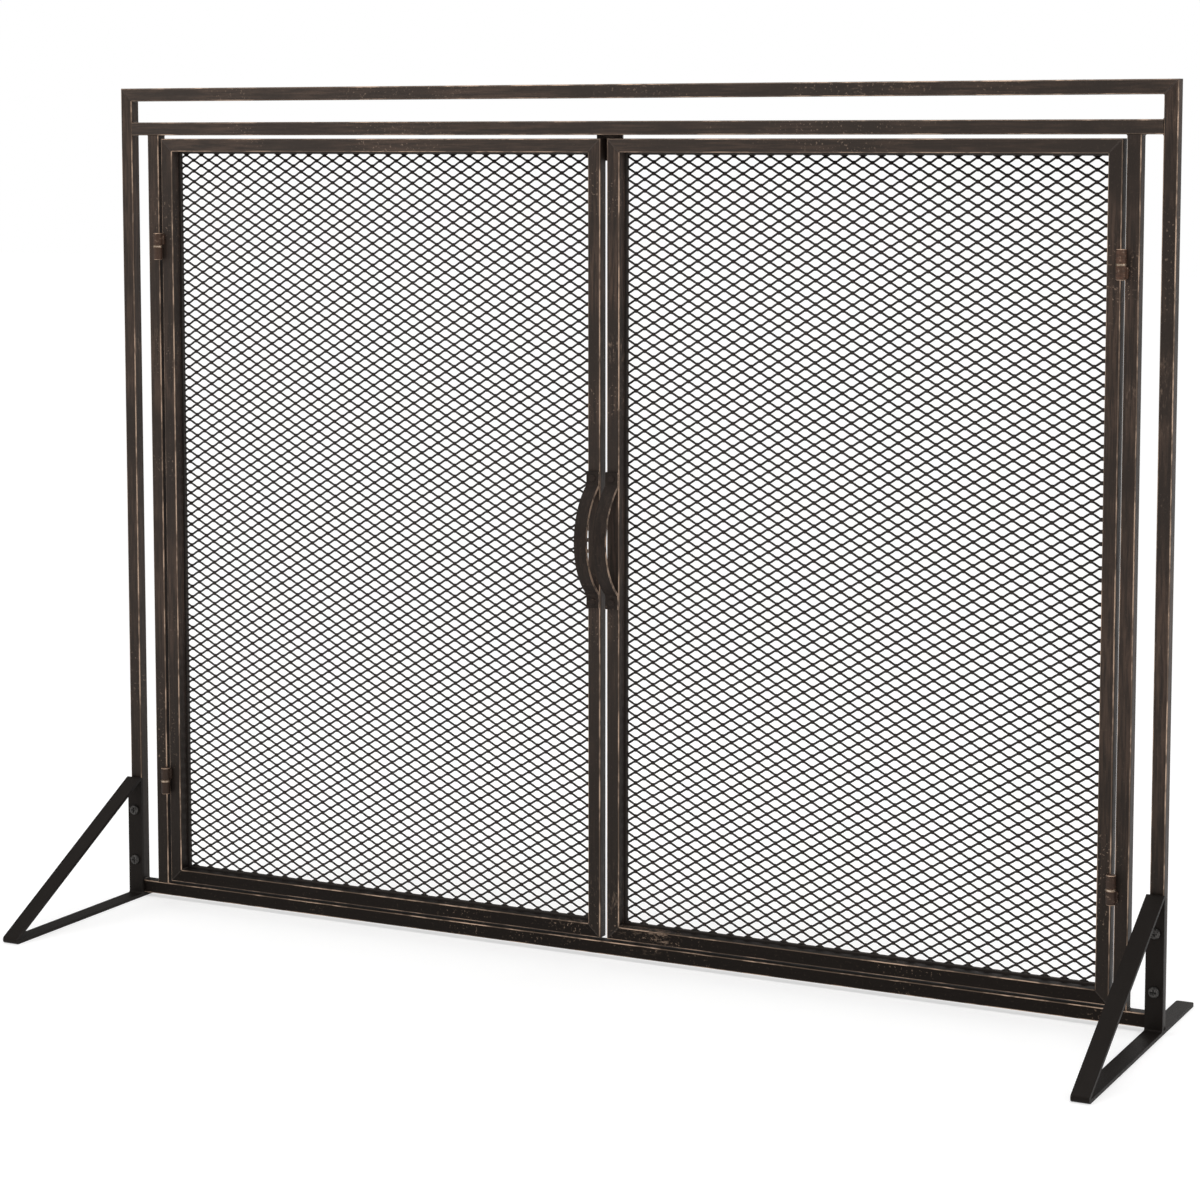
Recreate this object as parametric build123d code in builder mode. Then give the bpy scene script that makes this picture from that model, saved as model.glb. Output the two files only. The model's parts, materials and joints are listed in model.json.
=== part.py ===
from build123d import *
import math
import os

# Free-standing fireplace screen: a welded square-tube frame with two mesh doors on lift-off hinges,
# bow handles on the meeting stiles, and a bent flat-bar foot screwed to the front of each outer stile.
#
# +Z is up, +X to the right seen from the front, and the front looks along -Y.
# The origin is on the floor, midway between the feet and midway along them.
# All sizes are in millimetres.

# ---- driving dimensions ----
overall_width = 1066.8  # over the outer stiles
overall_height = 811.5  # floor to the top of the top rail
tube = 12.7  # outside of the square tube
tube_wall = 1.2
tube_corner = 1.5  # outside corner radius of the tube

bar_thickness = 3.2  # flat bar of the feet
bar_width = 15.9
foot_depth = 304.8  # nose to rear end, along the floor
front_reach = 208.0  # the foot's nose stands this far in front of the frame
brace_angle = 29.8  # of the foot's brace above the floor, in degrees
nose_radius = 3.5  # outside of the tight fold at the nose
brace_bend_radius = 3.6  # outside of the bend at the top of the brace
foot_weld_radius = 2.0  # weld between the upright and the base of the foot
foot_end_radius = 2.5  # rounded corners of the foot's rear end

side_slot = 18.4  # open strip between an outer and an inner stile
top_slot = 20.6  # open strip between the top rail and the header rail
rail_lift = 0.8  # the bottom rail sits this much above the ends of the outer stiles

hinge_gap = 3.2  # inner stile to door, and header rail to door
sill_gap = 2.4  # bottom rail to door
meeting_gap = 6.8  # between the two doors

mesh_thickness = 0.45  # plain sheet with the weight of the expanded metal
mesh_lap = 2.7  # how far the panel laps onto the door tubes

stop_width = 26.0
stop_thickness = 2.5
stop_drop = 23.5  # below the header rail
stop_lap = 9.0  # up the back of the header rail

handle_length = 127.0
handle_width = 12.4
handle_thickness = 3.0
handle_tab = 12.5  # flat end of the bow, held by a rivet
handle_rise = 25.6  # of the bow's outer side above the tabs
handle_height = 394.0  # floor to the middle of the bow
handle_bend_radius = 2.0

rivet_head_radius = 3.2
rivet_head_height = 0.9
rivet_shank_radius = 1.95
rivet_hole_radius = 2.0
rivet_length = 4.5  # under the head

barrel_radius = 4.4
barrel_clearance = 0.3  # between a barrel and the faces of the stiles
barrel_half_length = 12.3  # one knuckle
barrel_chamfer = 0.5
hinge_heights = (122.4, 656.8)  # floor to the middle of each hinge
pin_radius = 2.5
pin_clearance = 0.05  # radial, in the door's knuckle
pin_end_clearance = 0.5
knuckle_cap = 1.5  # solid end of the door's knuckle, above the pin
washer_thickness = 1.4
washer_radius = 4.75
washer_play = 0.05  # between the washer and the door's knuckle
weld_inner = 1.8  # the weld beside a barrel, measured from the hinge axis
weld_outer = 4.2
weld_reach = 3.6  # the weld's height in front of the stile

screw_heights = (37.5, 88.5)
screw_radius = 2.5
screw_hole_radius = 2.7
screw_length = 12.5  # under the head
screw_head_radius = 4.8
screw_head_height = 2.6
screw_head_dome = 1.5
recess_length = 5.2
recess_width = 1.1
recess_depth = 1.5
nut_side = 8.0
nut_thickness = 4.0
nut_hole_radius = 2.55

# ---- places that follow from them ----
frame_front = front_reach - foot_depth / 2  # Y of the front faces of the frame and the doors
frame_back = frame_front + tube
frame_middle = frame_front + tube / 2

stile_bottom = bar_thickness
bottom_rail_bottom = stile_bottom + rail_lift
bottom_rail_top = bottom_rail_bottom + tube
top_rail_bottom = overall_height - tube
header_top = top_rail_bottom - top_slot
header_bottom = header_top - tube

outer_x = overall_width / 2  # outside of an outer stile
rail_end_x = outer_x - tube
stile_x = outer_x - tube / 2  # middle of an outer stile, its foot and its screws
inner_stile_x = rail_end_x - side_slot - tube / 2
doorway_x = inner_stile_x - tube / 2

door_outer_x = doorway_x - hinge_gap
door_inner_x = meeting_gap / 2
door_bottom = bottom_rail_top + sill_gap
door_top = header_bottom - hinge_gap
hinge_x = doorway_x - hinge_gap / 2
hinge_y = frame_front - barrel_clearance - barrel_radius

sides = {"left": -1, "right": 1}
finished = []


def keep(builder, label):
    """Label a finished sub-part and put it in the list that is written at the end."""
    builder.part.label = label
    finished.append(builder.part)


def tube_section():
    """Cross-section of the square tube, centred where the sketch stands."""
    RectangleRounded(tube, tube, tube_corner)
    RectangleRounded(tube - 2 * tube_wall, tube - 2 * tube_wall, tube_corner - tube_wall, mode=Mode.SUBTRACT)


def upright_tube(x, bottom, top):
    """Vertical square tube in the plane of the frame, inside an open BuildPart."""
    with BuildSketch(Plane.XY.offset(bottom)) as section:
        with Locations((x, frame_middle)):
            tube_section()
    extrude(section.sketch, amount=top - bottom)


def level_tube(start, end, bottom):
    """Horizontal square tube in the plane of the frame, inside an open BuildPart."""
    with BuildSketch(Plane.YZ.offset(start)) as section:
        with Locations((frame_middle, bottom + tube / 2)):
            tube_section()
    extrude(section.sketch, amount=end - start)


def mitre(x, z, toward_x, toward_z):
    """Cut the open part at 45 degrees through the corner (x, z) and keep the side towards the given way."""
    cut = Plane(origin=(x, frame_middle, z), x_dir=(0, 1, 0), z_dir=(toward_x, 0, toward_z))
    split(bisect_by=cut, keep=Keep.TOP)


def drill_front_wall(x, heights, radius):
    """Round holes through the front wall of an upright tube, inside an open BuildPart."""
    with BuildSketch(Plane.XZ.offset(-frame_front)) as holes:
        with Locations(*[(x, z) for z in heights]):
            Circle(radius)
    extrude(holes.sketch, amount=-2 * tube_wall, mode=Mode.SUBTRACT)


# ---- fixed frame ----
def outer_stile(name, side):
    """Full-height tube, mitred into the top rail and drilled for the screws of its foot."""
    with BuildPart() as stile:
        upright_tube(side * stile_x, stile_bottom, overall_height)
        mitre(side * outer_x, overall_height, side, -1)
        drill_front_wall(side * stile_x, screw_heights, screw_hole_radius)
    keep(stile, f"{name}_outer_stile")


def inner_stile(name, side):
    """Tube between the bottom rail and the header rail, on which a door hangs."""
    with BuildPart() as stile:
        upright_tube(side * inner_stile_x, bottom_rail_top, header_bottom)
    keep(stile, f"{name}_inner_stile")


def top_rail():
    """Top tube, mitred at both ends."""
    with BuildPart() as rail:
        level_tube(-outer_x, outer_x, top_rail_bottom)
        mitre(-outer_x, overall_height, 1, 1)
        mitre(outer_x, overall_height, -1, 1)
    keep(rail, "top_rail")


def cross_rail(label, bottom):
    """Tube welded square between the two outer stiles."""
    with BuildPart() as rail:
        level_tube(-rail_end_x, rail_end_x, bottom)
    keep(rail, label)


def door_stop():
    """Plate welded to the back of the header rail, which the two doors close against."""
    with BuildPart() as plate:
        with BuildSketch(Plane.XZ.offset(-frame_back)):
            with Locations((0, header_bottom + (stop_lap - stop_drop) / 2)):
                RectangleRounded(stop_width, stop_lap + stop_drop, 1.0)
        extrude(amount=-stop_thickness)
    keep(plate, "door_stop")


# ---- feet ----
def foot(name, side):
    """One flat bar bent into a base, a brace and an upright that is screwed to the stile."""
    half_angle = math.radians(brace_angle / 2)
    nose_y = frame_front - front_reach - nose_radius * (1 / math.tan(half_angle) - 1)
    brace_rise = (frame_front - nose_y) * math.tan(math.radians(brace_angle))
    nose_inset = bar_thickness / math.tan(half_angle)
    inner_run = frame_front - bar_thickness - (nose_y + nose_inset)
    inner_rise = inner_run * math.tan(math.radians(brace_angle))
    rear_y = foot_depth / 2
    with BuildPart() as bar:
        with BuildSketch(Plane.YZ.offset(side * stile_x - bar_width / 2)):
            with BuildLine():
                Polyline((nose_y, 0), (frame_front, 0), (frame_front, brace_rise), close=True)
            make_face()
            fillet(vertices().sort_by(Axis.X)[0], nose_radius)
            fillet(vertices().sort_by(Axis.Y)[-1], brace_bend_radius)
            with BuildLine():
                inner_nose = (nose_y + nose_inset, bar_thickness)
                inner_heel = (frame_front - bar_thickness, bar_thickness)
                inner_top = (frame_front - bar_thickness, bar_thickness + inner_rise)
                FilletPolyline(inner_nose, inner_heel, inner_top, radius=foot_weld_radius)
                Line(inner_top, inner_nose)
            make_face(mode=Mode.SUBTRACT)
            with Locations(((frame_front + rear_y) / 2, bar_thickness / 2)):
                Rectangle(rear_y - frame_front, bar_thickness)
        extrude(amount=bar_width)
        fillet(faces().sort_by(Axis.Y)[-1].edges().filter_by(Axis.Z), foot_end_radius)
        with BuildSketch(Plane.XZ.offset(-frame_front + bar_thickness)):
            with Locations(*[(side * stile_x, z) for z in screw_heights]):
                Circle(screw_hole_radius)
        extrude(amount=-bar_thickness, mode=Mode.SUBTRACT)
    keep(bar, f"{name}_foot")


def foot_screws(name, side):
    """Pan-head cross-recess screws through the foot into the weld nuts of the stile."""
    head_back = frame_front - bar_thickness
    spots = [(side * stile_x, z) for z in screw_heights]
    with BuildPart() as screws:
        with BuildSketch(Plane.XZ.offset(-head_back)):
            with Locations(*spots):
                Circle(screw_head_radius)
        extrude(amount=screw_head_height)
        fillet(faces().filter_by(Axis.Y).group_by(Axis.Y)[0].edges(), screw_head_dome)
        with BuildSketch(Plane.XZ.offset(-head_back)):
            with Locations(*spots):
                Circle(screw_radius)
        extrude(amount=-screw_length)
        with BuildSketch(Plane.XZ.offset(-head_back + screw_head_height)):
            with Locations(*spots):
                Rectangle(recess_length, recess_width)
                Rectangle(recess_width, recess_length)
        extrude(amount=-recess_depth, mode=Mode.SUBTRACT)
    keep(screws, f"{name}_foot_screws")


def foot_nuts(name, side):
    """Square weld nuts inside the outer stile, behind its front wall."""
    with BuildPart() as nuts:
        with BuildSketch(Plane.XZ.offset(-frame_front - tube_wall)):
            with Locations(*[(side * stile_x, z) for z in screw_heights]):
                Rectangle(nut_side, nut_side)
                Circle(nut_hole_radius, mode=Mode.SUBTRACT)
        extrude(amount=-nut_thickness)
    keep(nuts, f"{name}_foot_nuts")


# ---- doors ----
def door_tubes(name, side):
    """The four mitred tubes of one door frame."""
    low_x, high_x = sorted((side * door_inner_x, side * door_outer_x))
    left_corners = ((low_x, door_bottom, 1), (low_x, door_top, -1))
    right_corners = ((high_x, door_bottom, 1), (high_x, door_top, -1))
    for label, x in (("hinge_stile", door_outer_x - tube / 2), ("meeting_stile", door_inner_x + tube / 2)):
        at_left = side * x < (low_x + high_x) / 2
        with BuildPart() as stile:
            upright_tube(side * x, door_bottom, door_top)
            for corner_x, corner_z, inward in left_corners if at_left else right_corners:
                mitre(corner_x, corner_z, -1 if at_left else 1, inward)
            if label == "meeting_stile":
                drill_front_wall(side * x, rivet_heights(), rivet_hole_radius)
        keep(stile, f"{name}_door_{label}")
    for label, bottom in (("bottom_rail", door_bottom), ("top_rail", door_top - tube)):
        corner_z = door_bottom if label == "bottom_rail" else door_top
        outward = -1 if label == "bottom_rail" else 1
        with BuildPart() as rail:
            level_tube(low_x, high_x, bottom)
            mitre(low_x, corner_z, 1, outward)
            mitre(high_x, corner_z, -1, outward)
        keep(rail, f"{name}_door_{label}")


def door_mesh(name, side):
    """Envelope of the expanded-metal panel welded to the back of the door frame."""
    inner_x = door_inner_x + tube - mesh_lap
    outer_mesh_x = door_outer_x - tube + mesh_lap
    low_z = door_bottom + tube - mesh_lap
    high_z = door_top - tube + mesh_lap
    with BuildPart() as panel:
        with BuildSketch(Plane.XZ.offset(-frame_back)):
            with Locations((side * (inner_x + outer_mesh_x) / 2, (low_z + high_z) / 2)):
                Rectangle(outer_mesh_x - inner_x, high_z - low_z)
        extrude(amount=-mesh_thickness)
    keep(panel, f"{name}_door_mesh")


def rivet_heights():
    """Heights of the two rivets of a handle."""
    offset = (handle_length - handle_tab) / 2
    return (handle_height - offset, handle_height + offset)


def handle(name, side):
    """Flat strap bowed forward between two flat tabs."""
    half_bow = handle_length / 2 - handle_tab
    bow_radius = (half_bow**2 + handle_rise**2) / (2 * handle_rise)
    inner_radius = bow_radius - handle_thickness
    peak_y = frame_front - handle_thickness - handle_rise
    centre_y = peak_y + bow_radius
    inner_half = math.sqrt(inner_radius**2 - (centre_y - frame_front) ** 2)
    tab_front = frame_front - handle_thickness
    tab_end = handle_length / 2
    middle_x = side * (door_inner_x + tube / 2)
    with BuildPart() as bow:
        with BuildSketch(Plane.YZ.offset(middle_x - handle_width / 2)):
            with BuildLine(Plane((0, handle_height))):
                Line((frame_front, tab_end), (tab_front, tab_end))
                Line((tab_front, tab_end), (tab_front, half_bow))
                ThreePointArc((tab_front, half_bow), (peak_y, 0), (tab_front, -half_bow))
                Line((tab_front, -half_bow), (tab_front, -tab_end))
                Line((tab_front, -tab_end), (frame_front, -tab_end))
                Line((frame_front, -tab_end), (frame_front, -inner_half))
                ThreePointArc(
                    (frame_front, -inner_half), (peak_y + handle_thickness, 0), (frame_front, inner_half)
                )
                Line((frame_front, inner_half), (frame_front, tab_end))
            make_face()
            bends = [v for v in vertices() if abs(v.Y - handle_height) < half_bow + 1]
            fillet(bends, handle_bend_radius)
        extrude(amount=handle_width)
        with BuildSketch(Plane.XZ.offset(-tab_front)):
            with Locations(*[(middle_x, z) for z in rivet_heights()]):
                Circle(rivet_hole_radius)
        extrude(amount=-handle_thickness, mode=Mode.SUBTRACT)
    keep(bow, f"{name}_handle")


def handle_rivets(name, side):
    """Low-dome rivets through the tabs of a handle into the meeting stile."""
    tab_front = frame_front - handle_thickness
    spots = [(side * (door_inner_x + tube / 2), z) for z in rivet_heights()]
    with BuildPart() as rivets:
        with BuildSketch(Plane.XZ.offset(-tab_front)):
            with Locations(*spots):
                Circle(rivet_head_radius)
        extrude(amount=rivet_head_height)
        fillet(faces().filter_by(Axis.Y).group_by(Axis.Y)[0].edges(), rivet_head_height * 0.8)
        with BuildSketch(Plane.XZ.offset(-tab_front)):
            with Locations(*spots):
                Circle(rivet_shank_radius)
        extrude(amount=-rivet_length)
    keep(rivets, f"{name}_handle_rivets")


# ---- hinges ----
def weld_pad(side, toward, bottom, top):
    """Weld between a barrel and the front of the stile on the given side of the hinge axis."""
    middle = (weld_inner + weld_outer) / 2
    with BuildSketch(Plane.XY.offset(bottom)) as pad:
        with Locations((side * (hinge_x + toward * middle), frame_front - weld_reach / 2)):
            Rectangle(weld_outer - weld_inner, weld_reach)
    extrude(pad.sketch, amount=top - bottom)


def frame_knuckles(name, side):
    """Lower halves of the two hinges of a door, welded to the inner stile, each holding a pin."""
    with BuildPart() as knuckles:
        for middle in hinge_heights:
            top = middle - washer_thickness / 2
            bottom = top - barrel_half_length
            with BuildSketch(Plane.XY.offset(bottom)):
                with Locations((side * hinge_x, hinge_y)):
                    Circle(barrel_radius)
            extrude(amount=barrel_half_length)
            ends = faces().filter_by(Axis.Z).filter_by_position(Axis.Z, bottom, top).edges()
            chamfer(ends, barrel_chamfer)
            weld_pad(side, 1, bottom + 1, top - 1)
            with BuildSketch(Plane.XY.offset(bottom)):
                with Locations((side * hinge_x, hinge_y)):
                    Circle(pin_radius)
            extrude(amount=barrel_half_length, mode=Mode.SUBTRACT)
    keep(knuckles, f"{name}_frame_knuckles")


def door_knuckles(name, side):
    """Upper halves of the two hinges of a door, welded to its hinge stile and capped above the pin."""
    bore_length = barrel_half_length - knuckle_cap
    with BuildPart() as knuckles:
        for middle in hinge_heights:
            bottom = middle + washer_thickness / 2 + washer_play
            top = bottom + barrel_half_length
            with BuildSketch(Plane.XY.offset(bottom)):
                with Locations((side * hinge_x, hinge_y)):
                    Circle(barrel_radius)
            extrude(amount=barrel_half_length)
            ends = faces().filter_by(Axis.Z).filter_by_position(Axis.Z, bottom, top).edges()
            chamfer(ends, barrel_chamfer)
            weld_pad(side, -1, bottom + 1, top - 1)
            with BuildSketch(Plane.XY.offset(bottom)):
                with Locations((side * hinge_x, hinge_y)):
                    Circle(pin_radius + pin_clearance)
            extrude(amount=bore_length, mode=Mode.SUBTRACT)
    keep(knuckles, f"{name}_door_knuckles")


def hinge_pins(name, side):
    """Pins pressed into the frame's knuckles, on which the door turns and lifts off."""
    above = washer_thickness + washer_play + barrel_half_length - knuckle_cap - pin_end_clearance
    with BuildPart() as pins:
        for middle in hinge_heights:
            with BuildSketch(Plane.XY.offset(middle - washer_thickness / 2 - barrel_half_length)):
                with Locations((side * hinge_x, hinge_y)):
                    Circle(pin_radius)
            extrude(amount=barrel_half_length + above)
    keep(pins, f"{name}_hinge_pins")


def hinge_washers(name, side):
    """Thin rings between the two halves of each hinge, which carry the weight of the door."""
    with BuildPart() as washers:
        for middle in hinge_heights:
            with BuildSketch(Plane.XY.offset(middle - washer_thickness / 2)):
                with Locations((side * hinge_x, hinge_y)):
                    Circle(washer_radius)
                    Circle(pin_radius + pin_clearance, mode=Mode.SUBTRACT)
            extrude(amount=washer_thickness)
    keep(washers, f"{name}_hinge_washers")


top_rail()
cross_rail("header_rail", header_bottom)
cross_rail("bottom_rail", bottom_rail_bottom)
door_stop()
for side_name, side_sign in sides.items():
    outer_stile(side_name, side_sign)
    inner_stile(side_name, side_sign)
    foot(side_name, side_sign)
    foot_screws(side_name, side_sign)
    foot_nuts(side_name, side_sign)
    door_tubes(side_name, side_sign)
    door_mesh(side_name, side_sign)
    handle(side_name, side_sign)
    handle_rivets(side_name, side_sign)
    frame_knuckles(side_name, side_sign)
    door_knuckles(side_name, side_sign)
    hinge_pins(side_name, side_sign)
    hinge_washers(side_name, side_sign)

os.makedirs("parts", exist_ok=True)
for piece in finished:
    export_step(piece, f"parts/{piece.label}.step")
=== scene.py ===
import json
import math

import bmesh
import bpy
import numpy as np
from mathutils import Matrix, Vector, noise


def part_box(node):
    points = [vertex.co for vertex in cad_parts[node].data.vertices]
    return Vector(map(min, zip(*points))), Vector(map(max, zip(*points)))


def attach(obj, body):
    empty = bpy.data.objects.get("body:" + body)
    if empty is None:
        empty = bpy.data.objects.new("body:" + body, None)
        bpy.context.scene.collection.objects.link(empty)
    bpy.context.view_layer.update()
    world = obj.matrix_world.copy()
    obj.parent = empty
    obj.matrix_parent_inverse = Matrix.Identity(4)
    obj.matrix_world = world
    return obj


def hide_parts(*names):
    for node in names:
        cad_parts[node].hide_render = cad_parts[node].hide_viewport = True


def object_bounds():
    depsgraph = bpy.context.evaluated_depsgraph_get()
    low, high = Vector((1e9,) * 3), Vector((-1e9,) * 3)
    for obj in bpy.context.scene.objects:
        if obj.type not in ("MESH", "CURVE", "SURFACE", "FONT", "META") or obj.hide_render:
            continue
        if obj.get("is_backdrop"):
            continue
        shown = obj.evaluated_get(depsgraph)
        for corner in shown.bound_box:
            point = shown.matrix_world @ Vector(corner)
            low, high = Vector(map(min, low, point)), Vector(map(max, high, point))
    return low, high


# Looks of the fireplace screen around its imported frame. Metres, +Z up, the front looks along -Y.

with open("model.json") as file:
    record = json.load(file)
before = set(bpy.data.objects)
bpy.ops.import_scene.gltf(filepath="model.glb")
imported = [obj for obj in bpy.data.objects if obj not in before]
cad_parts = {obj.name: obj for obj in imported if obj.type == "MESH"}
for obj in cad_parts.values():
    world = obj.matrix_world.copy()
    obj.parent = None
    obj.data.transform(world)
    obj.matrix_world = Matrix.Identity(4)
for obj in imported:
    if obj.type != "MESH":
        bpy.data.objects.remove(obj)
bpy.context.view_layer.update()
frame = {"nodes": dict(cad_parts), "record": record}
nodes = frame["nodes"]
joints = {j["name"]: j for j in frame["record"]["behaviour"]["joints"]}

MM = 0.001
SIDES = {"left": -1, "right": 1}  # and the sign of X there
FRAME_SLOT, HINGE_SLOT, MESH_SLOT, FOOT_SLOT = "tube_bronze", "hinge_bronze", "black_mesh", "black_foot"

top_low, top_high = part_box("top_rail")
FRONT_Y, BACK_Y = top_low[1], top_high[1]  # of the square tube, in the frame and the doors
TUBE = top_high[2] - top_low[2]

noise.seed_set(7)  # without a seed, noise_vector changes with the clock


# ---------------------------------------------------------------- node materials
class Shader:
    """A material with a Principled shader, and short calls for the nodes that feed it."""

    def __init__(self, name, **constants):
        self.material = bpy.data.materials.new(name)
        self.material.use_nodes = True
        self.tree = self.material.node_tree
        self.principled = self.tree.nodes["Principled BSDF"]
        for socket, value in constants.items():
            self.principled.inputs[socket.replace("_", " ")].default_value = value
        self.spot = self.node("ShaderNodeTexCoord").outputs

    def node(self, kind, inputs=None, **settings):
        made = self.tree.nodes.new(kind)
        for key, value in settings.items():
            setattr(made, key, value)
        for key, value in (inputs or {}).items():
            self.feed(made.inputs[key], value)
        return made

    def feed(self, socket, value):
        if isinstance(value, bpy.types.NodeSocket):
            self.tree.links.new(value, socket)
        else:
            socket.default_value = value

    def noise(self, scale, detail=3.0, rough=0.5, stretch=(1, 1, 1), shift=(0, 0, 0)):
        place = self.node(
            "ShaderNodeMapping", {"Vector": self.spot["Object"], "Scale": stretch, "Location": shift}
        )
        made = self.node(
            "ShaderNodeTexNoise",
            {"Vector": place.outputs[0], "Scale": scale, "Detail": detail, "Roughness": rough},
        )
        return made.outputs["Fac"]

    def math(self, operation, a, b=0.0, clamp=False):
        return self.node("ShaderNodeMath", {0: a, 1: b}, operation=operation, use_clamp=clamp).outputs[0]

    def times(self, a, b):
        return self.math("MULTIPLY", a, b)

    def plus(self, a, b):
        return self.math("ADD", a, b)

    def most(self, a, b):
        return self.math("MAXIMUM", a, b)

    def step(self, value, low, high, to_low=0.0, to_high=1.0):
        made = self.node(
            "ShaderNodeMapRange",
            {"Value": value, "From Min": low, "From Max": high, "To Min": to_low, "To Max": to_high},
            interpolation_type="SMOOTHSTEP",
        )
        return made.outputs["Result"]

    def mix(self, factor, a, b):
        made = self.node("ShaderNodeMix", data_type="RGBA")
        for index, value in ((0, factor), (6, a), (7, b)):
            self.feed(made.inputs[index], value)
        return made.outputs[2]

    def axis(self, output, letter):
        return self.node("ShaderNodeSeparateXYZ", {0: self.spot[output]}).outputs[letter]

    def corner(self, bend_axis=None):
        """0 on flat faces, rising on rounded edges.

        Without a bend axis the faces are those of a square tube, with one those of a band bent about it.
        """
        sizes = [self.math("ABSOLUTE", self.axis("Normal", letter)) for letter in "XYZ"]
        if bend_axis is None:
            flat = self.most(self.most(sizes[0], sizes[1]), sizes[2])
        else:
            side = sizes["XYZ".index(bend_axis)]
            rest = self.math("SUBTRACT", 1.0, self.times(side, side), True)
            flat = self.most(side, self.math("SQRT", rest))
        return self.math("SUBTRACT", 1.0, flat)

    def finish(self, color, rough, height, depth, metal=None):
        self.feed(self.principled.inputs["Base Color"], color)
        self.feed(self.principled.inputs["Roughness"], rough)
        if metal is not None:
            self.feed(self.principled.inputs["Metallic"], metal)
        bump = self.node("ShaderNodeBump", {"Height": height, "Distance": depth, "Strength": 1.0})
        self.feed(self.principled.inputs["Normal"], bump.outputs[0])
        return self.material


DARK, WARM, COPPER = (0.0155, 0.0118, 0.0102), (0.058, 0.037, 0.0275), (0.56, 0.40, 0.295)
FLOOR_PAINTED_SHADE = 0.3  # painted shade of the dark bronze, at the floor
PAINTED_SHADE_HEIGHTS = (0.01, 0.36)  # between which the painted shade fades out
# X, Z and radius of the places on the front that are rubbed through to copper
RUBBED_SPOTS = (
    (0.484, 0.634, 0.026),
    (0.060, 0.034, 0.045),
    (-0.035, 0.030, 0.035),
)
# scales of the brush marks along X, Y and Z
BRUSHED_UP, BRUSHED_LEVEL, UNBRUSHED = (420, 420, 26), (26, 420, 420), (300, 300, 300)


def scratches(s, grain, level):
    """Short scratches along the grain, in the patches where a wide noise passes the level."""
    patch = s.step(s.noise(6.5, 3.0, 0.7, shift=(4.2, 1.3, 7.7)), level, level + 0.13)
    short = tuple(max(k, 130) for k in grain)
    scratch = s.step(s.noise(1.0, 4.0, 0.7, short, (7, 5, 1)), 0.5, 0.68)
    return s.times(s.times(patch, scratch), 0.4)


def edge_line(s, streak, level, bend_axis):
    """A line along the edges, strong where a ragged noise passes the level and faint elsewhere."""
    ragged = s.plus(s.times(s.noise(22.0, 4.0, 0.7), 0.6), s.times(streak, 0.4))
    line = s.step(s.corner(bend_axis), 0.015, 0.15)
    return s.times(line, s.step(ragged, level, level + 0.12, 0.2, 0.95))


def flank_patches(s):
    """Patches on the faces that look sideways."""
    flank = s.step(s.math("ABSOLUTE", s.axis("Normal", "X")), 0.6, 0.95)
    return s.times(flank, s.step(s.noise(70.0, 4.0, 0.7), 0.4, 0.6, 0.1, 0.8))


def flecks(s):
    """Small faint specks, in loose groups."""
    speck = s.step(s.noise(380.0, 2.0, 0.6), 0.6, 0.7)
    return s.times(speck, s.step(s.noise(11.0, 2.0, 0.5), 0.52, 0.66, 0.02, 0.24))


def spot_speckles(s):
    """Speckles at the rubbed spots, denser towards the middle of each."""
    near = 0.0
    for x, z, radius in RUBBED_SPOTS:
        middle = (x, FRONT_Y, z)
        far = s.node("ShaderNodeVectorMath", {0: s.spot["Object"], 1: middle}, operation="DISTANCE")
        near = s.most(near, s.step(far.outputs["Value"], 0.3 * radius, radius, 1.0, 0.0))
    raised = s.plus(s.noise(330.0, 4.0, 0.75), s.times(near, 0.14))
    return s.times(near, s.step(raised, 0.7, 0.84, 0.0, 0.55))


def bronze(
    name, grain, dark, warm, edge_level=0.47, patch_level=0.62, bend_axis=None, flanks=False, shine=0.42
):
    """Dark bronze coat brushed along the grain, darkened near the floor by painted shade and rubbed
    through to copper.

    The lower its level, the more of the edges or patches is worn. An edge level of None wears no edges.
    """
    s = Shader(name, Specular_IOR_Level=shine, Specular_Tint=(1.0, 0.83, 0.72, 1))
    cloud = s.step(s.noise(9.0, 4.0, 0.6), 0.35, 0.65)
    streak = s.noise(1.0, 4.0, 0.65, grain)
    fine_streak = s.noise(1.0, 2.0, 0.6, tuple(3.1 * k for k in grain), (3, 1, 2))
    coat = s.mix(s.times(cloud, s.step(streak, 0.35, 0.7)), (*dark, 1), (*warm, 1))
    # painted shade: the coat darkens towards the floor
    painted_shade = tuple(FLOOR_PAINTED_SHADE * k for k in dark)
    coat = s.mix(s.step(s.axis("Object", "Z"), *PAINTED_SHADE_HEIGHTS), (*painted_shade, 1), coat)
    worn = s.most(scratches(s, grain, patch_level), flecks(s))
    worn = s.most(worn, spot_speckles(s))
    if edge_level is not None:
        worn = s.most(worn, edge_line(s, streak, edge_level, bend_axis))
    if flanks:
        worn = s.most(worn, flank_patches(s))
    color = s.mix(worn, coat, (*COPPER, 1))
    rough = s.plus(s.step(fine_streak, 0.3, 0.7, 0.42, 0.58), s.times(worn, -0.1))
    grit = s.noise(850.0, 2.0, 0.5)
    height = s.plus(s.times(grit, 0.35), s.times(fine_streak, 0.65))
    height = s.math("SUBTRACT", height, s.times(worn, 0.5))
    return s.finish(color, rough, height, 0.12 * MM, s.times(worn, 0.55))


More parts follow.
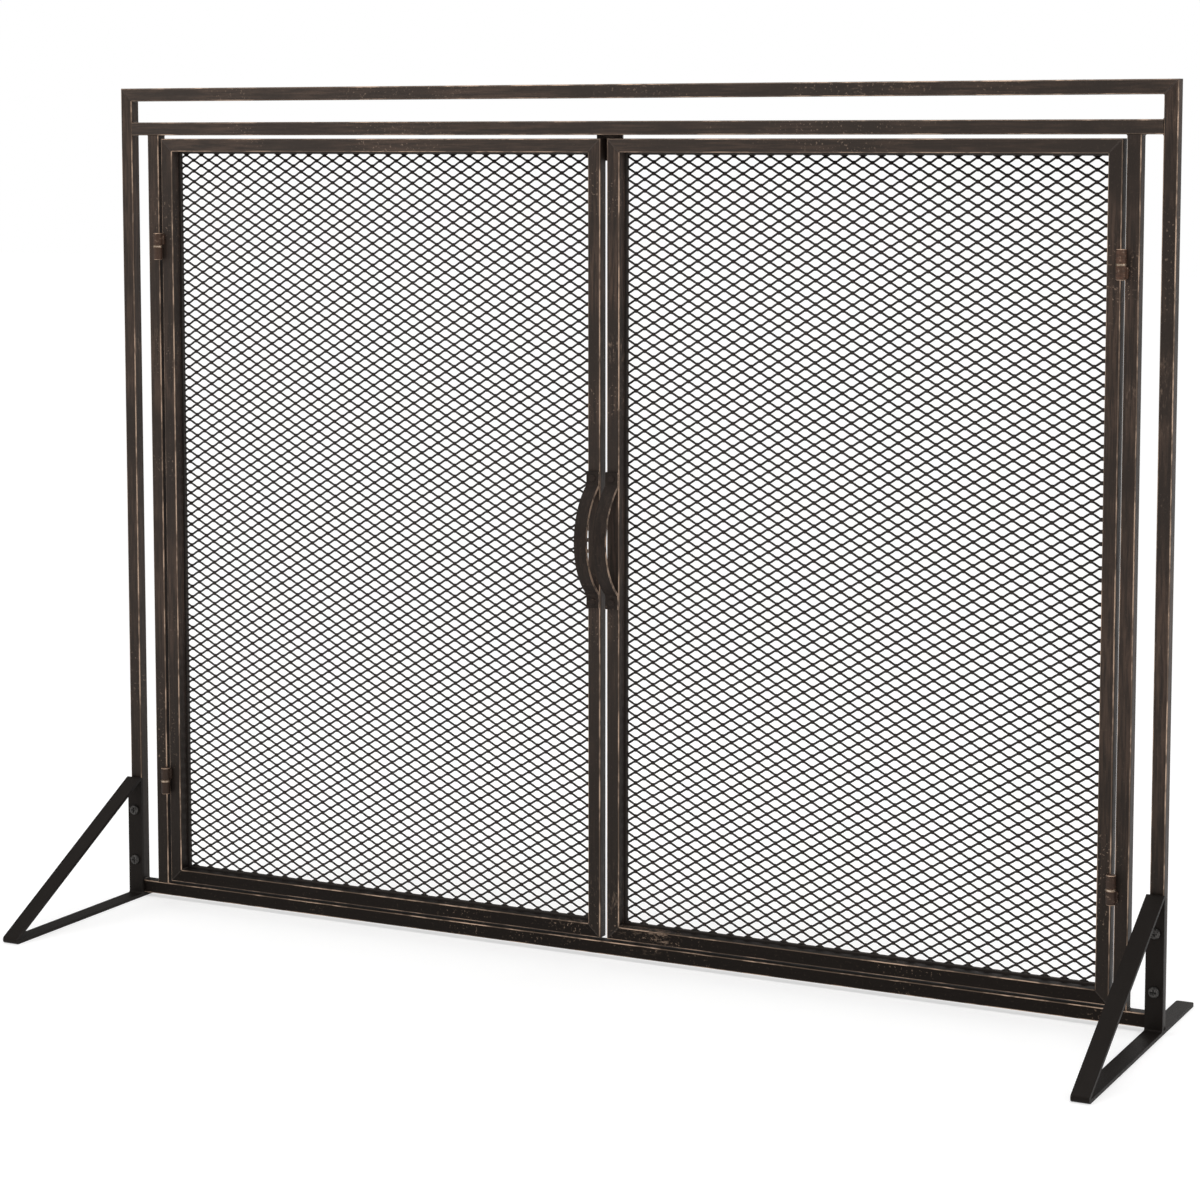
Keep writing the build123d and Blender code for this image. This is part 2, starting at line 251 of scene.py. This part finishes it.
def black_paint(name, shade, light, rough, depth, peel_scale, chips=None, shine=0.45):
    """Black powder coat with a fine orange peel, dusty patches and optional worn-through edges."""
    s = Shader(name, Specular_IOR_Level=shine, Specular_Tint=(1.0, 0.88, 0.8, 1))
    cloud = s.step(s.noise(14.0, 4.0, 0.6), 0.3, 0.7)
    peel = s.noise(peel_scale, 2.0, 0.5)
    color = s.mix(s.times(cloud, s.step(peel, 0.3, 0.75)), (*shade, 1), (*light, 1))
    if chips:
        ragged = s.noise(60.0, 4.0, 0.7)
        worn = s.times(s.step(s.corner("X"), 0.05, 0.25), s.step(ragged, 0.55, 0.66))
        color = s.mix(s.times(worn, 0.6), color, (*chips, 1))
    return s.finish(color, s.step(peel, 0.3, 0.7, rough - 0.06, rough + 0.08), peel, depth)


def bare_metal(name, shade, light, rough, metallic, turned):
    """Plated or turned metal with fine tool lines and tarnish."""
    s = Shader(name, Metallic=metallic)
    lines = s.noise(1.0, 3.0, 0.6, turned)
    tarnish = s.step(s.noise(420.0, 4.0, 0.65), 0.35, 0.68)
    color = s.mix(tarnish, (*light, 1), (*shade, 1))
    return s.finish(color, s.step(tarnish, 0.0, 1.0, rough, rough + 0.18), lines, 0.06 * MM)


upright_bronze = bronze(
    "bronze_upright",
    BRUSHED_UP,
    dark=(0.020, 0.0153, 0.0132),
    warm=(0.074, 0.048, 0.036),
    edge_level=0.45,
    shine=0.27,
)
level_bronze = bronze("bronze_level", BRUSHED_LEVEL, DARK, WARM)
low_bronze = bronze("bronze_low", BRUSHED_LEVEL, DARK, WARM, edge_level=0.46, patch_level=0.6, shine=0.14)
strap_bronze = bronze(
    "bronze_strap",
    (420, 90, 90),
    dark=(0.0125, 0.0098, 0.0086),
    warm=(0.028, 0.0195, 0.016),
    edge_level=0.42,
    patch_level=0.7,
    bend_axis="X",
    flanks=True,
    shine=0.17,
)
hinge_weld_bronze = bronze(
    "bronze_hinge_weld",
    UNBRUSHED,
    dark=(0.036, 0.019, 0.0125),
    warm=(0.09, 0.043, 0.027),
    edge_level=None,
    patch_level=0.68,
    shine=0.3,
)
rivet_bronze = bronze(
    "bronze_rivet",
    UNBRUSHED,
    dark=(0.016, 0.012, 0.0105),
    warm=(0.036, 0.025, 0.02),
    edge_level=None,
    patch_level=0.66,
    shine=0.18,
)
weld_bronze = bronze(
    "bronze_weld",
    UNBRUSHED,
    dark=(0.024, 0.019, 0.017),
    warm=(0.05, 0.034, 0.026),
    edge_level=None,
    patch_level=0.6,
)
barrel_bronze = bronze(
    "bronze_barrel",
    (160, 160, 900),
    dark=(0.042, 0.022, 0.0145),
    warm=(0.115, 0.054, 0.033),
    edge_level=0.36,
    patch_level=0.64,
    bend_axis="Z",
)
foot_paint = black_paint(
    "foot_black",
    shade=(0.0075, 0.0062, 0.0055),
    light=(0.0145, 0.012, 0.0105),
    rough=0.52,
    depth=0.06 * MM,
    peel_scale=900,
    chips=(0.075, 0.062, 0.054),
    shine=0.12,
)
mesh_paint = black_paint(
    "mesh_black",
    shade=(0.010, 0.0080, 0.0070),
    light=(0.024, 0.0165, 0.0135),
    rough=0.5,
    depth=0.04 * MM,
    peel_scale=1500,
    shine=0.28,
)
edging_paint = black_paint(
    "edging_black",
    shade=(0.011, 0.0095, 0.0088),
    light=(0.02, 0.0165, 0.0145),
    rough=0.5,
    depth=0.05 * MM,
    peel_scale=1100,
)
screw_metal = bare_metal(
    "screw_dark",
    shade=(0.02, 0.0185, 0.0175),
    light=(0.085, 0.08, 0.076),
    rough=0.36,
    metallic=0.8,
    turned=(1800, 60, 60),
)
inner_metal = bare_metal(
    "plain_steel",
    shade=(0.14, 0.13, 0.12),
    light=(0.4, 0.39, 0.38),
    rough=0.3,
    metallic=1.0,
    turned=(600, 600, 2600),
)
washer_metal = bare_metal(
    "washer_brass",
    shade=(0.20, 0.145, 0.10),
    light=(0.52, 0.42, 0.33),
    rough=0.3,
    metallic=1.0,
    turned=(700, 700, 3000),
)

# the first ending that a node's name has gives its material
BY_ENDING = (
    ("foot_screws", screw_metal),
    ("foot_nuts", inner_metal),
    ("hinge_pins", inner_metal),
    ("hinge_washers", washer_metal),
    ("knuckles", barrel_bronze),
    ("handle_rivets", rivet_bronze),
    ("handle", strap_bronze),
    ("_foot", foot_paint),
    ("stile", upright_bronze),
    ("bottom_rail", low_bronze),
    ("rail", level_bronze),
    ("door_stop", level_bronze),
    ("door_mesh", mesh_paint),
)


def finish_for(node):
    return next(material for ending, material in BY_ENDING if node.endswith(ending))


for name, obj in nodes.items():
    obj.data.materials.clear()
    obj.data.materials.append(finish_for(name))


# ---------------------------------------------------------------- small mesh tools
def piece(name, points, faces, material, body, smooth_angle=None):
    """A mesh object in the shared frame that rides on a body."""
    mesh = bpy.data.meshes.new(name)
    mesh.from_pydata([tuple(p) for p in points], [], [tuple(f) for f in faces])
    mesh.validate()
    made = bpy.data.objects.new(name, mesh)
    bpy.context.scene.collection.objects.link(made)
    mesh.materials.append(material)
    if smooth_angle is not None:
        mesh.polygons.foreach_set("use_smooth", [True] * len(mesh.polygons))
        mesh.set_sharp_from_angle(angle=math.radians(smooth_angle))
    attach(made, body)
    return made


def tidy_normals(made, merge_within=None):
    work = bmesh.new()
    work.from_mesh(made.data)
    if merge_within:
        bmesh.ops.remove_doubles(work, verts=work.verts, dist=merge_within)
    bmesh.ops.recalc_face_normals(work, faces=work.faces)
    work.to_mesh(made.data)
    work.free()


class Welds:
    """Collects beads of weld, to become one piece."""

    RINGS_PER_RIPPLE = 4
    TIP = 0.03  # size of a bead's ends, against its middle
    RAGGED = 0.16  # share of a bead's size that its ripples, and its wobble, take

    def __init__(self, seed):
        self.points, self.faces, self.seed = [], [], seed

    def wobble(self, p):
        return noise.noise(Vector(p) * 900 + Vector((self.seed, 0, 0)))

    def bead(self, start, end, width, height, out, ripple=1.7 * MM, around=8):
        """A bead of weld from start to end, on a surface whose outward direction is out."""
        start, end, out = Vector(start), Vector(end), Vector(out).normalized()
        along = (end - start).normalized()
        across = along.cross(out).normalized()
        length = (end - start).length
        rings = max(6, int(length / (ripple / self.RINGS_PER_RIPPLE)))
        base = len(self.points)
        for i in range(rings + 1):
            t = i / rings
            taper = math.sqrt(max(0.0, 1 - (2 * t - 1) ** 8)) * (1 - self.TIP) + self.TIP
            scallop = 1 - self.RAGGED * abs(math.sin(math.pi * t * length / ripple))
            middle = start + along * (length * t)
            for k in range(around):
                a = 2 * math.pi * k / around
                wobble = self.wobble(middle + across * math.cos(a) * width)
                swell = taper * scallop * (1 + self.RAGGED * wobble)
                sideways = across * (math.cos(a) * width / 2 * swell)
                self.points.append(middle + sideways + out * (math.sin(a) * height * swell))
        for i in range(rings):
            for k in range(around):
                n = (k + 1) % around
                low, high = base + i * around, base + (i + 1) * around
                self.faces.append((low + k, low + n, high + n, high + k))
        self.faces.append(tuple(base + k for k in reversed(range(around))))
        self.faces.append(tuple(base + rings * around + k for k in range(around)))

    def piece(self, name, body, material=weld_bronze, slot=FRAME_SLOT):
        made = piece(name, self.points, self.faces, material, body, 50)
        tidy_normals(made)


# ---------------------------------------------------------------- expanded metal doors
LONG_WAY, SHORT_WAY = 17.7 * MM, 10.45 * MM  # of one diamond
STRAND_WIDTH, STRAND_THICKNESS = 2.1 * MM, 1.35 * MM
STRAND_TILT = math.radians(34)  # from upright, upper edge to the back
BOND_HALF = 1.35 * MM
BOND_WIDTH = 0.8  # of a strand at its bonds, against its middle
MESH_AT = {"left": (-41.4 * MM, 746.29 * MM), "right": (17.42 * MM, 746.29 * MM)}  # one bond of each panel
MESH_INSET = 0.8 * MM  # of the strands' ends inside the edging
DRIFT, UNEVEN = 0.35 * MM, 0.09 * MM  # of the whole sheet, and of single strands
EDGING_WIDTH, EDGING_DEPTH, EDGING_CHAMFER = 4.7 * MM, 4.0 * MM, 0.5 * MM
TACKS_LEVEL, TACKS_UPRIGHT = 5, 7  # along each level and upright side of a panel
TACK_LENGTH, TACK_WIDTH, TACK_HEIGHT = 9 * MM, 3.4 * MM, 1.5 * MM
TACK_SCATTER = 6 * MM


def strand_samples(low_x, high_x, bond_x):
    """X of each cross-section along a strand, and the share of its climb between bonds reached there."""
    half = LONG_WAY / 2
    marks = [(-BOND_HALF, 0.0), (BOND_HALF, 0.0), (half / 2, 0.5)]
    first = math.floor((low_x - bond_x) / half) - 1
    last = math.ceil((high_x - bond_x) / half) + 1
    xs, climbs = [], []
    for m in range(first, last + 1):
        for offset, climb in marks:
            xs.append(bond_x + m * half + offset)
            climbs.append(climb if m % 2 == 0 else 1 - climb)
    xs, climbs = np.array(xs), np.array(climbs)
    inside = (xs > low_x + 0.2 * MM) & (xs < high_x - 0.2 * MM)
    ends = np.array([low_x, high_x])
    kept = np.concatenate([ends[:1], xs[inside], ends[1:]])
    return kept, np.interp(kept, xs, climbs)


def warped(points, seed):
    """The points, moved by a soft drift of the whole sheet and a fine unevenness of the strands."""
    moved = []
    for x, y, z in points:
        soft = noise.noise_vector(Vector((x * 9, seed, z * 9)))
        fine = noise.noise_vector(Vector((x * 160, 5.0, z * 160)))
        moved.append((x + DRIFT * soft.x, y + 0.6 * DRIFT * soft.y, z + DRIFT * soft.z + UNEVEN * fine.z))
    return moved


def expanded_metal(side, node, body):
    """Zigzag strands slit from one sheet, leaning like louvres, each joined to the next at its bonds."""
    (low_x, low_y, low_z), (high_x, _, high_z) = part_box(node)
    bond_x, bond_z = MESH_AT[side]
    floor_z, roof_z = low_z + MESH_INSET, high_z - MESH_INSET
    row_rise = SHORT_WAY / 2
    xs, climb = strand_samples(low_x + MESH_INSET, high_x - MESH_INSET, bond_x)
    count = len(xs)
    row_first = math.floor((floor_z - bond_z) / row_rise)
    row_last = math.ceil((roof_z - bond_z) / row_rise)
    middle_y = low_y + EDGING_DEPTH / 2
    lean = np.array([math.sin(STRAND_TILT), math.cos(STRAND_TILT)]) * STRAND_WIDTH / 2
    bond_lean = lean * BOND_WIDTH
    skin = np.array([-math.cos(STRAND_TILT), math.sin(STRAND_TILT)]) * STRAND_THICKNESS / 2
    corners = [(-1, 1), (-1, -1), (1, -1), (1, 1)]  # of a section: lean and skin
    points, faces = [], []
    for row in range(row_first, row_last):
        share = climb if row % 2 == 0 else 1 - climb
        low_row = bond_z + row * row_rise
        centre_z = low_row + bond_lean[1] + share * (row_rise - 2 * bond_lean[1])
        centre_y = middle_y + bond_lean[0] * (1 - 2 * share)
        centre_z = np.clip(centre_z, floor_z + lean[1], roof_z - lean[1])
        width = BOND_WIDTH + (1 - BOND_WIDTH) * (1 - abs(2 * share - 1))
        base = len(points)
        for i in range(count):
            for a, b in corners:
                across = a * width[i] * lean + b * skin
                points.append((xs[i], centre_y[i] + across[0], centre_z[i] + across[1]))
        for i in range(count - 1):
            here, there = base + 4 * i, base + 4 * (i + 1)
            both = share[i] + share[i + 1]
            joined_below = both < 1e-9 and row > row_first
            joined_above = both > 2 - 1e-9 and row < row_last - 1
            for k in range(4):
                if (k == 0 and joined_below) or (k == 2 and joined_above):
                    continue
                n = (k + 1) % 4
                faces.append((here + k, here + n, there + n, there + k))
        faces.append((base + 3, base + 2, base + 1, base))
        last = base + 4 * (count - 1)
        faces.append((last, last + 1, last + 2, last + 3))
    seed = 1.0 if side == "left" else 0.0
    made = piece(f"{side}_expanded_metal", warped(points, seed), faces, mesh_paint, body)
    tidy_normals(made, merge_within=0.001 * MM)
    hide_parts(node)


def edging(side, node, body):
    """Folded strip that closes the cut edge of the panel, mitred at its corners."""
    (low_x, low_y, low_z), (high_x, _, high_z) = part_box(node)
    w, d, r = EDGING_WIDTH, EDGING_DEPTH, EDGING_CHAMFER
    section = [(0, 0), (w - r, 0), (w, r), (w, d - r), (w - r, d), (r, d), (0, d - r)]  # inwards, back
    corners = [
        (low_x, low_z, 1, 1),
        (high_x, low_z, -1, 1),
        (high_x, high_z, -1, -1),
        (low_x, high_z, 1, -1),
    ]
    points = [(x + in_x * u, low_y + v, z + in_z * u) for x, z, in_x, in_z in corners for u, v in section]
    n = len(section)
    faces = []
    for c in range(4):
        here, there = c * n, (c + 1) % 4 * n
        faces += [(here + k, here + (k + 1) % n, there + (k + 1) % n, there + k) for k in range(n)]
    made = piece(f"{side}_mesh_edging", points, faces, edging_paint, body, 50)
    tidy_normals(made)


def tacks(side, node, body):
    """Short welds that hold the panel's edging on the back of the door tubes."""
    (low_x, low_y, low_z), (high_x, _, high_z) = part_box(node)
    welds = Welds(11 if side == "left" else 17)
    half = TACK_LENGTH / 2
    for z, way in ((low_z, -1), (high_z, 1)):
        for i in range(TACKS_LEVEL):
            scatter = TACK_SCATTER * noise.noise(Vector((i, z * 50, 3)))
            x = low_x + (i + 0.5) * (high_x - low_x) / TACKS_LEVEL + scatter
            out = (0, 1, way * 0.5)
            welds.bead((x - half, low_y, z), (x + half, low_y, z), TACK_WIDTH, TACK_HEIGHT, out)
    for x, way in ((low_x, -1), (high_x, 1)):
        for i in range(TACKS_UPRIGHT):
            scatter = TACK_SCATTER * noise.noise(Vector((x * 50, i, 5)))
            z = low_z + (i + 0.5) * (high_z - low_z) / TACKS_UPRIGHT + scatter
            out = (way * 0.5, 1, 0)
            welds.bead((x, low_y, z - half), (x, low_y, z + half), TACK_WIDTH, TACK_HEIGHT, out)
    welds.piece(f"{side}_mesh_tacks", body)


for side in SIDES:
    node, body = f"{side}_door_mesh", f"{side}_door"
    expanded_metal(side, node, body)
    edging(side, node, body)
    tacks(side, node, body)


# ---------------------------------------------------------------- welds between the tubes
# width and height of the beads
SEAM_FRONT, SEAM_BACK = (1.5 * MM, 0.22 * MM), (1.5 * MM, 0.55 * MM)
SEAM_INSIDE, FILLET, STOP_BEAD = (2.6 * MM, 1.0 * MM), (3.0 * MM, 1.15 * MM), (2.8 * MM, 1.2 * MM)


def seam(welds, corner, inward):
    """Ground welds along both faces of a mitred corner, and a bead in the angle inside it."""
    x, z = corner
    in_x, in_z = inward
    trim, end_gap = 0.9 * MM, 1.4 * MM
    far_x, far_z = x + in_x * TUBE, z + in_z * TUBE
    for y, out, size in ((FRONT_Y, -1, SEAM_FRONT), (BACK_Y, 1, SEAM_BACK)):
        start = (x + in_x * trim, y, z + in_z * trim)
        welds.bead(start, (far_x, y, far_z), *size, (0, out, 0), ripple=2.2 * MM)
    start, end = (far_x, FRONT_Y + end_gap, far_z), (far_x, BACK_Y - end_gap, far_z)
    welds.bead(start, end, *SEAM_INSIDE, (in_x, 0, in_z))


def fillet(welds, x, z, way_x, way_z):
    """Fillet weld in the angle between an upright and a level tube, from front to back."""
    end_gap = 1.2 * MM
    welds.bead((x, FRONT_Y + end_gap, z), (x, BACK_Y - end_gap, z), *FILLET, (way_x, 0, way_z))


def stop_welds(welds, header_bottom):
    """Beads round the part of the stop plate that lies on the header rail."""
    (low_x, y, _), (high_x, _, high_z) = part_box("door_stop")
    low_gap, high_gap, side_gap = 1.5 * MM, 1 * MM, 4 * MM
    for x, way in ((low_x, -1), (high_x, 1)):
        start, end = (x, y, header_bottom + low_gap), (x, y, high_z - high_gap)
        welds.bead(start, end, *STOP_BEAD, (way, 1, 0))
    start, end = (low_x + side_gap, y, high_z), (high_x - side_gap, y, high_z)
    welds.bead(start, end, *STOP_BEAD, (0, 1, 1))


header_low, header_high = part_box("header_rail")
bottom_low, bottom_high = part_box("bottom_rail")
frame_welds = Welds(1)
for s in SIDES.values():
    seam(frame_welds, (s * top_high[0], top_high[2]), (-s, -1))
    for z, way in ((header_high[2], 1), (header_low[2], -1), (bottom_high[2], 1), (bottom_low[2], -1)):
        fillet(frame_welds, s * header_high[0], z, -s, way)
for side in SIDES:
    low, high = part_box(f"{side}_inner_stile")
    for x, way_x in ((low[0], -1), (high[0], 1)):
        for z, way in ((header_low[2], -1), (bottom_high[2], 1)):
            fillet(frame_welds, x, z, way_x, way)
stop_welds(frame_welds, header_low[2])
frame_welds.piece("frame_welds", "frame")

for side, s in SIDES.items():
    door_welds = Welds(5 + s)
    for stile, out in (("hinge_stile", s), ("meeting_stile", -s)):
        low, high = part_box(f"{side}_door_{stile}")
        x = high[0] if out > 0 else low[0]
        for z, up in ((high[2], 1), (low[2], -1)):
            seam(door_welds, (x, z), (-out, -up))
    door_welds.piece(f"{side}_door_welds", f"{side}_door")

# ---------------------------------------------------------------- welds of the hinges and feet
HINGE_Y = joints["right_door_hinge"]["pos_m"][1]
HINGE_BEAD, HEEL_BEAD, BACK_BEAD = (5.0 * MM, 2.3 * MM), (3.6 * MM, 1.3 * MM), (3.2 * MM, 1.2 * MM)
FOOT_BAR = 3.2 * MM  # thickness of the flat bar
SAME_BARREL = 5 * MM  # solids less than this apart are taken as one


def loose_solids(node):
    """Lowest and highest Z of each separate solid of a node."""
    work = bmesh.new()
    work.from_mesh(nodes[node].data)
    spans, seen = [], set()
    for start in work.verts:
        if start.index in seen:
            continue
        stack, heights = [start], []
        seen.add(start.index)
        while stack:
            v = stack.pop()
            heights.append(v.co.z)
            for edge in v.link_edges:
                other = edge.other_vert(v)
                if other.index not in seen:
                    seen.add(other.index)
                    stack.append(other)
        spans.append((min(heights), max(heights)))
    work.free()
    merged = []
    for low, high in sorted(spans):
        if merged and low < merged[-1][1] + SAME_BARREL:
            merged[-1] = (merged[-1][0], max(merged[-1][1], high))
        else:
            merged.append((low, high))
    return merged


def hinge_welds(node, axis_x, toward, body, seed):
    """Beads that hold one half of each barrel on its tube, which lies toward that side of the axis."""
    beside_axis, behind_axis, end_gap = 3.5 * MM, 3.2 * MM, 0.6 * MM
    welds = Welds(seed)
    x, y = axis_x + toward * beside_axis, HINGE_Y + behind_axis
    for low_z, high_z in loose_solids(node):
        start, end = (x, y, low_z + end_gap), (x, y, high_z - end_gap)
        welds.bead(start, end, *HINGE_BEAD, (toward, -1.3, 0), ripple=2.1 * MM, around=10)
    welds.piece(node.replace("knuckles", "hinge_welds"), body, hinge_weld_bronze, HINGE_SLOT)


def foot_welds(side, seed):
    """Beads where the foot's upright and the outer stile stand on its base."""
    low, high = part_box(f"{side}_foot")
    x = (low[0] + high[0]) / 2
    heel_half, back_half = (high[0] - low[0]) / 2 - 1.2 * MM, 5 * MM
    heel_y = FRONT_Y - FOOT_BAR
    welds = Welds(seed)
    for half, y, size, way in ((heel_half, heel_y, HEEL_BEAD, -1), (back_half, BACK_Y, BACK_BEAD, 1)):
        welds.bead((x - half, y, FOOT_BAR), (x + half, y, FOOT_BAR), *size, (0, way, 1))
    welds.piece(f"{side}_foot_welds", "frame", foot_paint, FOOT_SLOT)


for side, s in SIDES.items():
    axis_x = joints[f"{side}_door_hinge"]["pos_m"][0]
    hinge_welds(f"{side}_frame_knuckles", axis_x, s, "frame", 31 + 8 * s)
    hinge_welds(f"{side}_door_knuckles", axis_x, -s, f"{side}_door", 31 + 6 * s)

for side, s in SIDES.items():
    foot_welds(side, 43 + s)


# ---------------------------------------------------------------- edges of the flat-bar pieces
def ease_edges(node):
    bevel = nodes[node].modifiers.new("eased_edges", "BEVEL")
    bevel.width = 0.35 * MM
    bevel.segments = 2
    bevel.limit_method = "ANGLE"
    bevel.angle_limit = math.radians(50)
    bevel.harden_normals = False


for side in SIDES:
    ease_edges(f"{side}_handle")
    ease_edges(f"{side}_foot")

# ---------------------------------------------------------------- stage, light and camera
FLOOR_HALF = 14.0
FLOOR_NEAR, FLOOR_GLOW = 0.55, 0.55  # reflectance and own light of the floor near the object
FLOOR_FADE = (0.8, 2.2)  # distances between which the floor turns plain white

floor_mesh = bpy.data.meshes.new("floor")
floor_corners = [(sx * FLOOR_HALF, sy * FLOOR_HALF, 0) for sx, sy in ((-1, -1), (1, -1), (1, 1), (-1, 1))]
floor_mesh.from_pydata(floor_corners, [], [(0, 1, 2, 3)])
floor = bpy.data.objects.new("floor", floor_mesh)
bpy.context.scene.collection.objects.link(floor)
pale = Shader("pale_floor", Roughness=0.7, Specular_IOR_Level=0.1, Emission_Color=(1, 1, 1, 1))
distance = pale.node("ShaderNodeVectorMath", {0: pale.spot["Object"]}, operation="LENGTH").outputs["Value"]
near_shade, far_shade = (FLOOR_NEAR, FLOOR_NEAR, FLOOR_NEAR, 1), (0, 0, 0, 1)
shade = pale.mix(pale.step(distance, *FLOOR_FADE), near_shade, far_shade)
pale.feed(pale.principled.inputs["Base Color"], shade)
pale.feed(pale.principled.inputs["Emission Strength"], pale.step(distance, *FLOOR_FADE, FLOOR_GLOW, 1.0))
floor_mesh.materials.append(pale.material)
floor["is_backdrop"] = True

# the camera sees a white world, and the object is lit by a weaker, slightly warm one
world = bpy.data.worlds.new("studio")
world.use_nodes = True
bpy.context.scene.world = world
tree = world.node_tree
tree.nodes.clear()
backdrop = tree.nodes.new("ShaderNodeBackground")
backdrop.inputs["Color"].default_value = (1, 1, 1, 1)
backdrop.inputs["Strength"].default_value = 1.0
fill_light = tree.nodes.new("ShaderNodeBackground")
fill_light.inputs["Color"].default_value = (1, 0.985, 0.965, 1)
fill_light.inputs["Strength"].default_value = 0.33
light_path = tree.nodes.new("ShaderNodeLightPath")
chosen = tree.nodes.new("ShaderNodeMixShader")
world_output = tree.nodes.new("ShaderNodeOutputWorld")
tree.links.new(light_path.outputs["Is Camera Ray"], chosen.inputs[0])
tree.links.new(fill_light.outputs[0], chosen.inputs[1])
tree.links.new(backdrop.outputs[0], chosen.inputs[2])
tree.links.new(chosen.outputs[0], world_output.inputs[0])


def softbox(name, place, target, width, height, watts):
    data = bpy.data.lights.new(name, "AREA")
    data.shape = "RECTANGLE"
    data.size, data.size_y = width, height
    data.energy = watts
    lamp = bpy.data.objects.new(name, data)
    lamp.location = place
    lamp.rotation_euler = (Vector(target) - Vector(place)).to_track_quat("-Z", "Y").to_euler()
    bpy.context.scene.collection.objects.link(lamp)


softbox("overhead", place=(0, -0.3, 3.2), target=(0, 0.1, 0.3), width=4.5, height=3.5, watts=78)
softbox("front_left", place=(-2.4, -2.6, 1.9), target=(0, 0, 0.5), width=1.6, height=1.6, watts=27)
softbox("right", place=(3.4, -0.6, 1.6), target=(0.2, 0, 0.5), width=1.4, height=1.8, watts=24)
softbox("behind", place=(0.3, 3.0, 2.2), target=(0, 0, 0.4), width=2.6, height=1.6, watts=27)

camera_data = bpy.data.cameras.new("camera")
camera = bpy.data.objects.new("camera", camera_data)
bpy.context.scene.collection.objects.link(camera)
bpy.context.scene.camera = camera
camera_data.sensor_width = 36.0
camera_data.lens = 89.5
camera_data.shift_x, camera_data.shift_y = -0.0018, -0.14
camera_data.clip_end = 60
camera.location = (1.2218, -2.3806, 0.7600)
turn_left, look_down = math.radians(26.656), math.radians(5.571)
reach = math.cos(look_down)
ahead = Vector((-math.sin(turn_left) * reach, math.cos(turn_left) * reach, -math.sin(look_down)))
camera.rotation_euler = ahead.to_track_quat("-Z", "Y").to_euler()

view = bpy.context.scene.view_settings
view.view_transform = "Standard"

low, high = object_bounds()
